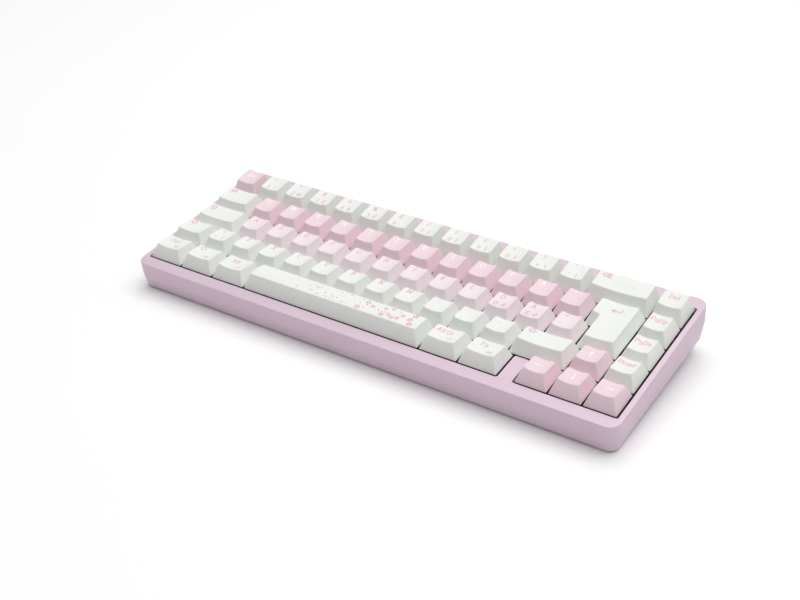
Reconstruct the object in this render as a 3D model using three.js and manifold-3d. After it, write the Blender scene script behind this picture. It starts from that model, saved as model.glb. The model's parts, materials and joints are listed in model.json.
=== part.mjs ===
// A compact 68-key mechanical keyboard with a large two-row Enter key, in millimetres, +Z up.
// It stands on four feet on z = 0, with its front towards -Y and its footprint centred on the origin.
//
// Everything above the feet is modelled in the deck frame: x runs right and y runs back from the front left
// corner of the key field, and z = 0 is the top face of the case. The deck group then leans it back.
import * as THREE from "three";
import { mergeVertices } from "three/addons/utils/BufferGeometryUtils.js";
import Module from "manifold-3d";

const wasm = await Module();
wasm.setup();

// ---- Driving dimensions ----
const UNIT = 19.05; // pitch of the keys
const COLUMNS = 16;
const ROWS = 5;
const FIELD_X = COLUMNS * UNIT;
const FIELD_Y = ROWS * UNIT;
const TYPING_ANGLE = THREE.MathUtils.degToRad(7);
const GAP = 0.3; // between pieces that touch

const CASE = {
  side: 3.7, // width of the top face beside the keys
  front: 8.5,
  rear: 9.3,
  face: 9.5, // height of the upright outer face; below it the wall leans in
  draft: 0.15, // how far the wall leans in, per millimetre of height
  frontHeight: 17,
  wedge: THREE.MathUtils.degToRad(3), // between the top face and the underside
  corner: 6.5,
  lip: 4.6, // thickness of the top face
  openingGap: 0.55, // from the key field to the edge of the opening
};
const CAVITY = { x0: 0.1, x1: FIELD_X - 0.1, y0: -4.4, y1: FIELD_Y + 4.95 };

const PLATE_TOP = -6.6;
const PLATE_THICKNESS = 1.5;
const PLATE_HOLE = 14;
const BOARD_TOP = PLATE_TOP - 5;
const BOARD_THICKNESS = 1.6;
const COVER_THICKNESS = 2;
const STRIP_DEPTH = 3.3; // of the gaskets and of the cover's ribs that face them

const SWITCH = {
  block: 13.4,
  shoulder: PLATE_TOP + 0.3,
  top: -0.1,
  topWidth: 10.4,
  topDepth: 9,
  wellX: 6.6, // the well that the slider runs in
  wellY: 5.4,
  wellBottom: -9.6,
};
const SLIDER = { x: 5.8, y: 4.6, bottom: -3.4 };

const CAP = {
  margin: 0.55, // from a key's cell to its skirt
  wall: 1.3,
  ceiling: 4.3,
  sideInset: 3.65, // from a key's cell to its top face
  frontInset: 4.6,
  backInset: 2.0,
  dish: 0.6,
  corner: 1.1,
};
// Height of the top face at its front and back edge, from the back row of keys to the front row.
const PROFILE = [
  [8.7, 9.9],
  [7.3, 6.7],
  [6.7, 5.9],
  [7.9, 6.2],
  [7.9, 6.2],
];
const ENTER_PROFILE = [7.0, 6.9];

const STABILISER = {
  radius: 0.75,
  barY: -8.3, // the wire's long bar, in front of the switch
  barZ: -5.5,
  arm: 9.6,
  lift: THREE.MathUtils.degToRad(12), // of the arms at rest
  post: { x: 3, y0: 0.2, y1: 3, bottom: -2.4 },
  slot: { x: 4.4, y0: -9.4, y1: 3.6 },
};
const SPACE_REACH = 50; // from the middle of the space bar to each end of its wire
const SHORT_REACH = 11.94;

const USB = {
  x: 2.25 * UNIT,
  z: -16.45,
  recess: [13, 7.4],
  shell: [8.94, 7.5, 3.26],
  pocket: [8.3, 5.6, 2.6],
  tongue: [6.7, 4.4, 0.7],
  mouthY: CAVITY.y1 - 0.2,
  board: [20, 15, 1.2],
};
const BATTERY = { size: [96, 32, 3.2], x: 6.4 * UNIT, y: 3.75 * UNIT };
const FOOT = { length: 52, depth: 9, x: 44, frontY: 6, rearY: 88, clearance: 1.6 };

// ---- The keys, row by row from the back, each as [name, width in units] ----
const single = (text) => text.split(" ").map((name) => [name, 1]);
const KEY_ROWS = [
  [["esc", 1], ...single("1 2 3 4 5 6 7 8 9 0 plus acute"), ["backspace", 2], ["delete", 1]],
  [["tab", 1.5], ...single("q w e r t y u i o p a_ring umlaut"), [null, 1.5], ["page_up", 1]],
  [
    ["caps_lock", 1.75], ...single("a s d f g h j k l o_umlaut a_umlaut apostrophe"),
    [null, 1.25], ["page_down", 1],
  ],
  [
    ["shift_left", 1.25], ...single("angle z x c v b n m comma period minus"),
    ["shift_right", 1.75], ["up", 1], ["home", 1],
  ],
  [
    ["ctrl", 1.25], ["super", 1.25], ["alt", 1.25], ["space", 6.25], ["alt_right", 1.25], ["fn", 1.25],
    [null, 0.5], ["left", 1], ["down", 1], ["right", 1],
  ],
];
// Neighbours that are made as one piece, so that the whole keyboard stays within 60 pieces.
const PAIRS = [
  "1 2", "3 4", "5 6", "7 8", "9 0", "plus acute",
  "q w", "e r", "t y", "u i", "o p", "a_ring umlaut",
  "a s", "d f", "g h", "j k", "l o_umlaut", "a_umlaut apostrophe",
  "z x", "c v", "b n", "m comma", "period minus",
];

// ---- Materials ----
const material = (color, roughness, metalness = 0) =>
  new THREE.MeshStandardMaterial({ color, roughness, metalness });
const CASE_PAINT = material(0xdcc3d6, 0.45, 0.3);
const WHITE_CAP = material(0xeff1ee, 0.6);
const PINK_CAP = material(0xefc3d2, 0.6);
const BLUSH_CAP = material(0xf0dfe8, 0.6);
const PLATE_METAL = material(0x26262a, 0.45, 0.6);
const BOARD_BLACK = material(0x1b1d20, 0.5);
const FOAM = material(0x2b2b2e, 0.95);
const RUBBER = material(0x3a3a3d, 0.9);
const STEEL = material(0xc9ccd0, 0.25, 1);
const WRAP = material(0x6f7f95, 0.5);
const PINK_KEYS = new Set(["esc", "up", "left", "down", "right"]);

// ---- Solids ----
// A three.js geometry, moved by a matrix, as a manifold-3d solid.
function solid(geometry, x = 0, y = 0, z = 0, turn = new THREE.Euler()) {
  const placed = geometry.index ? geometry.toNonIndexed() : geometry.clone();
  placed.applyMatrix4(new THREE.Matrix4().makeRotationFromEuler(turn).setPosition(x, y, z));
  placed.deleteAttribute("normal");
  placed.deleteAttribute("uv");
  const merged = mergeVertices(placed, 1e-4);
  return new wasm.Manifold(new wasm.Mesh({
    numProp: 3,
    vertProperties: new Float32Array(merged.attributes.position.array),
    triVerts: new Uint32Array(merged.index.array),
  }));
}

// A block between two corners.
function block(x0, x1, y0, y1, z0, z1) {
  return solid(new THREE.BoxGeometry(x1 - x0, y1 - y0, z1 - z0), (x0 + x1) / 2, (y0 + y1) / 2, (z0 + z1) / 2);
}

// A solid through rings of equal length. Each ring is an array of points that starts at the left, runs along
// the front to the right and comes back along the back. Its ends are closed by strips from front to back.
function loft(rings) {
  const count = rings[0].length;
  const triangles = [];
  const quad = (a, b, c, d) => triangles.push(a, b, c, a, c, d);
  for (let level = 0; level + 1 < rings.length; level++) {
    const [low, high] = [rings[level], rings[level + 1]];
    for (let i = 0; i < count; i++) {
      const j = (i + 1) % count;
      quad(low[i], low[j], high[j], high[i]);
    }
  }
  const [bottom, top] = [rings[0], rings[rings.length - 1]];
  for (let i = 0; i < count / 2 - 1; i++) {
    const j = count - 1 - i;
    quad(bottom[i], bottom[j], bottom[j - 1], bottom[i + 1]);
    quad(top[i], top[i + 1], top[j - 1], top[j]);
  }
  return solid(new THREE.BufferGeometry().setFromPoints(triangles));
}

// An upright prism on a THREE.Shape drawn in x and y.
function prism(shape, z0, z1) {
  return solid(new THREE.ExtrudeGeometry(shape, { depth: z1 - z0, bevelEnabled: false }), 0, 0, z0);
}

// A bar along x on a side view drawn as points of y and z.
function bar(sideView, x0, x1) {
  const shape = new THREE.Shape(sideView.map(([y, z]) => new THREE.Vector2(y, z)));
  const geometry = new THREE.ExtrudeGeometry(shape, { depth: x1 - x0, bevelEnabled: false });
  geometry.applyMatrix4(new THREE.Matrix4().set(0, 0, 1, x0, 1, 0, 0, 0, 0, 1, 0, 0, 0, 0, 0, 1));
  return solid(geometry);
}

function geometryOf(manifold) {
  const made = manifold.getMesh();
  const geometry = new THREE.BufferGeometry();
  geometry.setAttribute("position", new THREE.BufferAttribute(new Float32Array(made.vertProperties), 3));
  geometry.setIndex(new THREE.BufferAttribute(new Uint32Array(made.triVerts), 1));
  geometry.computeVertexNormals();
  return geometry;
}

function piece(name, manifold, look, parent) {
  const mesh = new THREE.Mesh(geometryOf(manifold), look);
  mesh.name = name;
  parent.add(mesh);
  return mesh;
}

// A ring of a rectangle with round corners, as loft wants it.
function roundedRing(x0, x1, y0, y1, z, radius, steps = 6) {
  const [left, right, front, back] = [x0 + radius, x1 - radius, y0 + radius, y1 - radius];
  const centres = [[left, front], [right, front], [right, back], [left, back]];
  return centres.flatMap(([cx, cy], corner) =>
    Array.from({ length: steps + 1 }, (_, i) => {
      const angle = Math.PI + (corner + i / steps) * (Math.PI / 2);
      return new THREE.Vector3(cx + radius * Math.cos(angle), cy + radius * Math.sin(angle), z);
    }));
}

// ---- Case ----
const undersideZ = (y) => -CASE.frontHeight - Math.tan(CASE.wedge) * (y + CASE.front);

function outerRing(z) {
  const lean = Math.max(0, -z - CASE.face) * CASE.draft;
  const [x0, x1] = [lean - CASE.side, FIELD_X + CASE.side - lean];
  const [y0, y1] = [lean - CASE.front, FIELD_Y + CASE.rear - lean];
  return roundedRing(x0, x1, y0, y1, z, CASE.corner - lean);
}

// The opening for the keys follows the key field, with a tongue between the Fn key and the arrow keys.
function openingShape() {
  const g = CASE.openingGap;
  const [x0, x1, y0, y1] = [-g, FIELD_X + g, -g, FIELD_Y + g];
  const [tongue0, tongue1, tongueTop] = [12.5 * UNIT + g, 13 * UNIT - g, UNIT - g];
  const shape = new THREE.Shape();
  shape.moveTo(x0, y0);
  shape.lineTo(tongue0, y0);
  shape.lineTo(tongue0, tongueTop);
  shape.lineTo(tongue1, tongueTop);
  shape.lineTo(tongue1, y0);
  shape.lineTo(x1, y0);
  shape.lineTo(x1, y1);
  shape.lineTo(x0, y1);
  return shape;
}

function upperCase() {
  const deep = -CASE.frontHeight - 20;
  const wedge = [[-60, undersideZ(-60)], [-60, deep - 20], [200, deep - 20], [200, undersideZ(200)]];
  const below = bar(wedge, -60, FIELD_X + 60);
  const [recessX, recessZ] = USB.recess;
  return loft([outerRing(deep), outerRing(-CASE.face), outerRing(0)])
    .subtract(below)
    .subtract(block(CAVITY.x0, CAVITY.x1, CAVITY.y0, CAVITY.y1, deep - 1, -CASE.lip))
    .subtract(prism(openingShape(), -CASE.lip - 1, 1))
    .subtract(block(USB.x - recessX / 2, USB.x + recessX / 2, CAVITY.y1 - 1, FIELD_Y + 40,
      USB.z - recessZ / 2, USB.z + recessZ / 2));
}

// A flat cover that closes the case from below. Two ribs on it press the plate's edges up to the gaskets.
function bottomCover() {
  const [y0, y1] = [CAVITY.y0 + GAP, CAVITY.y1 - GAP];
  const ribTop = PLATE_TOP - PLATE_THICKNESS - GAP;
  const floorZ = (y) => undersideZ(y) + COVER_THICKNESS;
  const [frontRib, rearRib] = [y0 + STRIP_DEPTH, y1 - STRIP_DEPTH];
  const [recessX] = USB.recess;
  const notch = Math.max(recessX, USB.board[0]) / 2 + 1;
  return bar([
    [y0, undersideZ(y0)], [y1, undersideZ(y1)], [y1, ribTop], [rearRib, ribTop], [rearRib, floorZ(rearRib)],
    [frontRib, floorZ(frontRib)], [frontRib, ribTop], [y0, ribTop],
  ], CAVITY.x0 + GAP, CAVITY.x1 - GAP)
    .subtract(block(USB.x - notch, USB.x + notch, rearRib - 1, y1 + 1, floorZ(y1), ribTop + 1));
}

function gasket(front) {
  const [y0, y1] = front
    ? [CAVITY.y0 + 0.5, CAVITY.y0 + 0.2 + STRIP_DEPTH]
    : [CAVITY.y1 - 0.2 - STRIP_DEPTH, CAVITY.y1 - 0.5];
  return block(2, FIELD_X - 2, y0, y1, PLATE_TOP + GAP, -CASE.lip - GAP);
}

// ---- Keys ----
const cells = [];
for (const [row, keys] of KEY_ROWS.entries()) {
  const [y0, y1] = [(ROWS - 1 - row) * UNIT, (ROWS - row) * UNIT];
  let x = 0;
  for (const [name, width] of keys) {
    if (name) cells.push({ name, row, x0: x * UNIT, x1: (x + width) * UNIT, y0, y1 });
    x += width;
  }
}
const ENTER_X1 = 15 * UNIT;
const ENTER = {
  name: "enter",
  x: (13.75 * UNIT + ENTER_X1) / 2,
  y: 3 * UNIT,
  column: { row: 1, x0: 13.75 * UNIT, x1: ENTER_X1, y0: 2 * UNIT, y1: 4 * UNIT },
  ear: { row: 1, x0: 13.5 * UNIT, x1: ENTER_X1, y0: 3 * UNIT, y1: 4 * UNIT },
};

// The ring of a keycap's outline at one level: 12 points, with cut corners and two points on each long edge.
function capRing(x0, x1, y0, y1, corner, heightAt) {
  const third = (x1 - x0) / 3;
  const front = [
    [x0, y0 + corner], [x0 + corner, y0], [x0 + third, y0],
    [x1 - third, y0], [x1 - corner, y0], [x1, y0 + corner],
  ];
  const back = front.map(([x, y]) => [x, y0 + y1 - y]).reverse();
  return [...front, ...back].map(([x, y]) => new THREE.Vector3(x, y, heightAt(x, y)));
}

// The outside of one keycap. Its top is hollowed across x, apart from the space bar's, which is flat.
function capOutside(cell, [frontZ, backZ], dish = CAP.dish, dishCell = cell) {
  const [top0, top1] = [cell.y0 + CAP.frontInset, cell.y1 - CAP.backInset];
  const [dish0, dish1] = [dishCell.x0 + CAP.sideInset, dishCell.x1 - CAP.sideInset];
  const [front, back] = [dishCell.y0 + CAP.frontInset, dishCell.y1 - CAP.backInset];
  const heightAt = (x, y) => {
    const across = (2 * x - dish0 - dish1) / (dish1 - dish0);
    const along = (y - front) / (back - front);
    return frontZ + (backZ - frontZ) * along - dish * (1 - across * across);
  };
  const m = CAP.margin;
  return loft([
    capRing(cell.x0 + m, cell.x1 - m, cell.y0 + m, cell.y1 - m, CAP.corner / 2, () => 0),
    capRing(cell.x0 + CAP.sideInset, cell.x1 - CAP.sideInset, top0, top1, CAP.corner, heightAt),
  ]);
}

// The hollow under a keycap, with walls that follow the outside.
function capInside(cell, height) {
  const share = CAP.ceiling / height;
  const inset = (outer, atTop, z) => outer + (atTop - outer) * z + CAP.wall;
  const ring = (z, height) => {
    const side = inset(CAP.margin, CAP.sideInset, z);
    const front = inset(CAP.margin, CAP.frontInset, z);
    const back = inset(CAP.margin, CAP.backInset, z);
    return [
      [cell.x0 + side, cell.y0 + front], [cell.x1 - side, cell.y0 + front],
      [cell.x1 - side, cell.y1 - back], [cell.x0 + side, cell.y1 - back],
    ].map(([x, y]) => new THREE.Vector3(x, y, height));
  };
  return loft([ring(-0.1, -0.1 * height), ring(share, CAP.ceiling)]);
}

function slider(x, y) {
  const [halfX, halfY] = [SLIDER.x / 2, SLIDER.y / 2];
  return block(x - halfX, x + halfX, y - halfY, y + halfY, SLIDER.bottom, CAP.ceiling + 0.2);
}

// The two posts that carry a wide key on its wire, as [x, y] offsets turned with the wire.
function stabiliserPosts(x, y, reach, turned) {
  const { post } = STABILISER;
  return [-reach, reach].map((along) => {
    const [a0, a1] = [along - post.x / 2, along + post.x / 2];
    return turned
      ? block(x + post.y0, x + post.y1, y + a0, y + a1, post.bottom, CAP.ceiling + 0.2)
      : block(x + a0, x + a1, y + post.y0, y + post.y1, post.bottom, CAP.ceiling + 0.2);
  });
}

const centreOf = (cell) => [(cell.x0 + cell.x1) / 2, (cell.y0 + cell.y1) / 2];
const reachOf = { space: SPACE_REACH, backspace: SHORT_REACH };

// A keycap with its slider, and the posts for its wire if it has one.
function key(cell) {
  const profile = PROFILE[cell.row];
  const dish = cell.name === "space" ? 0 : CAP.dish;
  const [x, y] = centreOf(cell);
  const reach = reachOf[cell.name];
  const posts = reach ? stabiliserPosts(x, y, reach, false) : [];
  const cap = capOutside(cell, profile, dish).subtract(capInside(cell, Math.min(...profile)));
  return [slider(x, y), ...posts].reduce((made, stem) => made.add(stem), cap);
}

function enterKey() {
  const { column, ear } = ENTER;
  const spread = { ...ear, y0: column.y0 };
  const height = Math.min(...ENTER_PROFILE);
  let made = capOutside(column, ENTER_PROFILE, CAP.dish, spread)
    .add(capOutside(ear, ENTER_PROFILE, CAP.dish, spread))
    .subtract(capInside(column, height))
    .subtract(capInside(ear, height))
    .add(slider(ENTER.x, ENTER.y));
  for (const post of stabiliserPosts(ENTER.x, ENTER.y, SHORT_REACH, true)) made = made.add(post);
  return made;
}

// The thin web that joins two neighbours low down between their skirts.
function web(left) {
  const [, y] = centreOf(left);
  return block(left.x1 - 1.5, left.x1 + 1.5, y - 4, y + 4, 0.2, 1.6);
}

function lookOf(cell) {
  if (PINK_KEYS.has(cell.name)) return PINK_CAP;
  const letter = cell.x1 - cell.x0 === UNIT && cell.x1 <= 13.75 * UNIT;
  if (letter && cell.row === 1) return PINK_CAP;
  if (letter && cell.row === 2) return BLUSH_CAP;
  return WHITE_CAP;
}

// ---- Inside the case ----
const switchPlaces = [...cells.map(centreOf), [ENTER.x, ENTER.y]];
const placeOf = (name) => centreOf(cells.find((cell) => cell.name === name));
const wires = [
  { name: "space", place: placeOf("space"), reach: SPACE_REACH, turned: false },
  { name: "backspace", place: placeOf("backspace"), reach: SHORT_REACH, turned: false },
  { name: "enter", place: [ENTER.x, ENTER.y], reach: SHORT_REACH, turned: true },
];

// A block at a wire's two ends: half wide along the wire, and from y0 to y1 across it.
function atWireEnds({ place: [x, y], reach, turned }, half, y0, y1, z0, z1) {
  return [-reach, reach].map((along) => turned
    ? block(x + y0, x + y1, y + along - half, y + along + half, z0, z1)
    : block(x + along - half, x + along + half, y + y0, y + y1, z0, z1));
}

function switchPlate() {
  const h = PLATE_HOLE / 2;
  const [z0, z1] = [PLATE_TOP - PLATE_THICKNESS, PLATE_TOP];
  let plate = block(0.5, FIELD_X - 0.5, CAVITY.y0 + 0.5, CAVITY.y1 - 0.5, z0, z1);
  for (const [x, y] of switchPlaces) {
    plate = plate.subtract(block(x - h, x + h, y - h, y + h, z0 - 1, z1 + 1));
  }
  const { slot } = STABILISER;
  for (const wire of wires) {
    const slots = atWireEnds(wire, slot.x / 2, slot.y0, slot.y1, z0 - 1, z1 + 1);
    for (const cut of slots) plate = plate.subtract(cut);
  }
  return plate;
}

// A square ring of half sizes hx and hy.
function squareRing(x, y, hx, hy, z) {
  const corners = [[x - hx, y - hy], [x + hx, y - hy], [x + hx, y + hy], [x - hx, y + hy]];
  return corners.map((corner) => new THREE.Vector3(...corner, z));
}

// One switch housing: a square block through the plate, a tapered top, and a well that the slider runs in.
function switchHousing(x, y) {
  const { block: side, shoulder, top, topWidth, topDepth, wellX, wellY, wellBottom } = SWITCH;
  const outside = loft([
    squareRing(x, y, side / 2, side / 2, BOARD_TOP - 0.5),
    squareRing(x, y, side / 2, side / 2, shoulder),
    squareRing(x, y, topWidth / 2, topDepth / 2, top),
  ]);
  return outside.subtract(block(x - wellX / 2, x + wellX / 2, y - wellY / 2, y + wellY / 2, wellBottom, 1));
}

// The circuit board with the housings that are soldered to it, and a saddle under each end of each wire.
function circuitBoard() {
  let board = block(1, FIELD_X - 1, 0.5, FIELD_Y - 0.5, BOARD_TOP - BOARD_THICKNESS, BOARD_TOP);
  for (const [x, y] of switchPlaces) board = board.add(switchHousing(x, y));
  const { barY, barZ, radius } = STABILISER;
  for (const wire of wires) {
    const saddles = atWireEnds(wire, 1.2, barY - 0.8, barY + 0.8, BOARD_TOP - 0.5, barZ - radius - GAP);
    for (const saddle of saddles) board = board.add(saddle);
  }
  return board;
}

// A wire with a long bar and an arm at each end, in its own frame: the bar lies along x through the origin.
function stabiliserWire(reach) {
  const { radius, arm } = STABILISER;
  const rod = (length) => new THREE.CylinderGeometry(radius, radius, length, 8);
  let wire = solid(rod(2 * reach), 0, 0, 0, new THREE.Euler(0, 0, Math.PI / 2));
  for (const x of [-reach, reach]) {
    wire = wire
      .add(solid(rod(arm), x, arm / 2, 0))
      .add(solid(new THREE.SphereGeometry(radius, 8, 6), x, 0, 0));
  }
  return wire;
}

function usbBoard() {
  const [shellX, shellY, shellZ] = USB.shell;
  const [pocketX, pocketY, pocketZ] = USB.pocket;
  const [tongueX, tongueY, tongueZ] = USB.tongue;
  const [boardX, boardY, boardZ] = USB.board;
  const { x, z, mouthY } = USB;
  const boardTop = z - shellZ / 2;
  const pocketEnd = mouthY - pocketY;
  const across = (width, y0, y1, z0, z1) => block(x - width / 2, x + width / 2, y0, y1, z0, z1);
  return across(shellX, mouthY - shellY, mouthY, boardTop, z + shellZ / 2)
    .subtract(across(pocketX, pocketEnd, mouthY + 1, z - pocketZ / 2, z + pocketZ / 2))
    .add(across(tongueX, pocketEnd - 0.5, pocketEnd + tongueY, z - tongueZ / 2, z + tongueZ / 2))
    .add(across(boardX, mouthY - boardY, mouthY - 0.8, boardTop - boardZ, boardTop + 0.05));
}

function batteryPack() {
  return solid(new THREE.BoxGeometry(...BATTERY.size));
}

// ---- Assembly ----
const keyboard = new THREE.Group();
const deck = new THREE.Group();
deck.rotation.x = TYPING_ANGLE;
keyboard.add(deck);

piece("upper_case", upperCase(), CASE_PAINT, deck);
piece("bottom_cover", bottomCover(), CASE_PAINT, deck);
piece("gasket_front", gasket(true), FOAM, deck);
piece("gasket_rear", gasket(false), FOAM, deck);
piece("switch_plate", switchPlate(), PLATE_METAL, deck);
piece("circuit_board", circuitBoard(), BOARD_BLACK, deck);
piece("usb_board", usbBoard(), STEEL, deck);
const battery = piece("battery_pack", batteryPack(), WRAP, deck);
battery.rotation.x = -CASE.wedge;
battery.position.set(BATTERY.x, BATTERY.y,
  undersideZ(BATTERY.y) + (COVER_THICKNESS + GAP + BATTERY.size[2] / 2) / Math.cos(CASE.wedge));

for (const { name, place: [x, y], reach, turned } of wires) {
  const pivot = new THREE.Group();
  const [across, z] = [STABILISER.barY, STABILISER.barZ];
  pivot.position.set(turned ? x + across : x, turned ? y : y + across, z);
  if (turned) pivot.rotation.z = -Math.PI / 2;
  deck.add(pivot);
  piece(`stabiliser_wire_${name}`, stabiliserWire(reach), STEEL, pivot).rotation.x = STABILISER.lift;
}

const pairOf = new Map(PAIRS.map((pair) => pair.split(" ")));
const seconds = new Set(pairOf.values());
for (const cell of cells) {
  if (seconds.has(cell.name)) continue;
  const partner = cells.find((other) => other.name === pairOf.get(cell.name));
  const name = partner ? `key_${cell.name}_and_${partner.name}` : `key_${cell.name}`;
  const made = partner ? key(cell).add(key(partner)).add(web(cell)) : key(cell);
  piece(name, made, lookOf(cell), deck);
}
piece("key_enter", enterKey(), WHITE_CAP, deck);

// The deck is set so high that the front feet have their clearance, and is centred over the origin.
const rise = (y, z) => y * Math.sin(TYPING_ANGLE) + z * Math.cos(TYPING_ANGLE);
const run = (y, z) => y * Math.cos(TYPING_ANGLE) - z * Math.sin(TYPING_ANGLE);
deck.position.z = FOOT.clearance - rise(FOOT.frontY, undersideZ(FOOT.frontY));
const box = new THREE.Box3().setFromObject(deck, true);
deck.position.x = -(box.min.x + box.max.x) / 2;
deck.position.y = -(box.min.y + box.max.y) / 2;

// A foot fills the wedge between the surface and the case's underside. Its top end is GAP below the case.
function foot(deckY) {
  const centre = run(deckY, undersideZ(deckY)) + deck.position.y;
  const height = rise(deckY, undersideZ(deckY)) + deck.position.z - GAP;
  const slope = Math.tan(TYPING_ANGLE - CASE.wedge);
  const [half, flare] = [FOOT.depth / 2, 0.12 * height];
  return bar([
    [centre - half + flare, 0], [centre + half - flare, 0],
    [centre + half, height + slope * half], [centre - half, height - slope * half],
  ], -FOOT.length / 2, FOOT.length / 2);
}
for (const [end, deckY] of [["front", FOOT.frontY], ["rear", FOOT.rearY]]) {
  for (const [side, sign] of [["left", -1], ["right", 1]]) {
    piece(`foot_${end}_${side}`, foot(deckY), RUBBER, keyboard).position.x = sign * (FIELD_X / 2 - FOOT.x);
  }
}

export default keyboard;
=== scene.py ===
# A compact mechanical keyboard with a large two-row Enter key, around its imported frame.
import json
import math
import random

import bmesh
import bpy
from mathutils import Matrix, Vector

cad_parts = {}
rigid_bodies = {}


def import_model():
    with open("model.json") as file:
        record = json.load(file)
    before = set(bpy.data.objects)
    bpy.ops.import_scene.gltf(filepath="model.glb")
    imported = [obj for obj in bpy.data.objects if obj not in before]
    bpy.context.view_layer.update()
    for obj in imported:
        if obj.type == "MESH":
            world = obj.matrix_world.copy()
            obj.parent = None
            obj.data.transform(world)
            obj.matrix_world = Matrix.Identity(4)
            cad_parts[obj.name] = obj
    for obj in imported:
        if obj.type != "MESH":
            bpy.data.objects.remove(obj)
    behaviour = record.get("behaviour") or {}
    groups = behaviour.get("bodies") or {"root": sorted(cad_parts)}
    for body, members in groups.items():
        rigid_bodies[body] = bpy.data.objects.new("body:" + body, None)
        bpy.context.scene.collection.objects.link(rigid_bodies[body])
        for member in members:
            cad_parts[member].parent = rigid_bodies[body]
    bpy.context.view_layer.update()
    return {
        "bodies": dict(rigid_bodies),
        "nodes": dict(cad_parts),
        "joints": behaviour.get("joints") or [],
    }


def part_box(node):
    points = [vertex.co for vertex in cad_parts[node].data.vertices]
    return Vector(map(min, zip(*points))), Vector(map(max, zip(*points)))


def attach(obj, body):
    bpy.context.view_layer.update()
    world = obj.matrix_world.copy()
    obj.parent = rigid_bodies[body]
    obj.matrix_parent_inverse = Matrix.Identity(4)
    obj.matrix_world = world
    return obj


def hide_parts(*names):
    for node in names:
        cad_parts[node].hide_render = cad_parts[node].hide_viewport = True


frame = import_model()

# ---- Driving dimensions, in millimetres in the deck frame: x right and y back from the front left corner of
# ---- the key field, z = 0 on the top face of the case ----
MM = 0.001
UNIT = 19.05
COLUMNS, ROWS = 16, 5
FIELD_X, FIELD_Y = COLUMNS * UNIT, ROWS * UNIT

CASE_SIDE, CASE_FRONT, CASE_REAR = 3.7, 8.5, 9.3
CASE_FACE = 9.5
CASE_DRAFT = 0.15
CASE_DEPTH = 17.0
CASE_WEDGE = math.radians(3)
CASE_CORNER = 6.5
CASE_EDGE = 0.45
CASE_LIP = 4.6
KINK_BLEND = 1.6
OPENING_GAP = 0.55
OPENING_CORNER = 1.3
CAVITY = (0.1, FIELD_X - 0.1, -4.4, FIELD_Y + 4.95)
COVER_THICKNESS = 2.0
STRIP_DEPTH = 3.3
PLATE_TOP = -6.6
PLATE_BOTTOM = -8.1
BOARD_TOP, BOARD_BOTTOM = -11.6, -13.2
USB_WIDTH, USB_HEIGHT = 8.94, 3.26
WIRE_RADIUS = 0.75

CAP_MARGIN = 0.5
CAP_BOTTOM = -0.5
CAP_WALL = 1.3
CAP_CEILING = 4.3
CAP_BASE_CORNER, CAP_TOP_CORNER = 0.45, 1.3
CAP_EDGE = 0.35
CAP_DISH = 0.95
SPACE_RISE, SPACE_CROWN = 0.5, 0.3
# For each row of keys from the back: the inset of the top face at the sides, front and back, and its height
# at the front and back edge.
PROFILE = [
    (3.0, 4.8, 1.9, 8.8, 9.7),
    (3.8, 4.4, 1.7, 7.5, 7.3),
    (3.8, 4.75, 1.5, 6.9, 6.2),
    (3.6, 4.6, 2.2, 8.0, 6.5),
    (3.6, 4.6, 2.3, 7.8, 6.3),
]
ENTER_PROFILE = (3.8, 4.6, 1.8, 7.0, 7.0)

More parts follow.
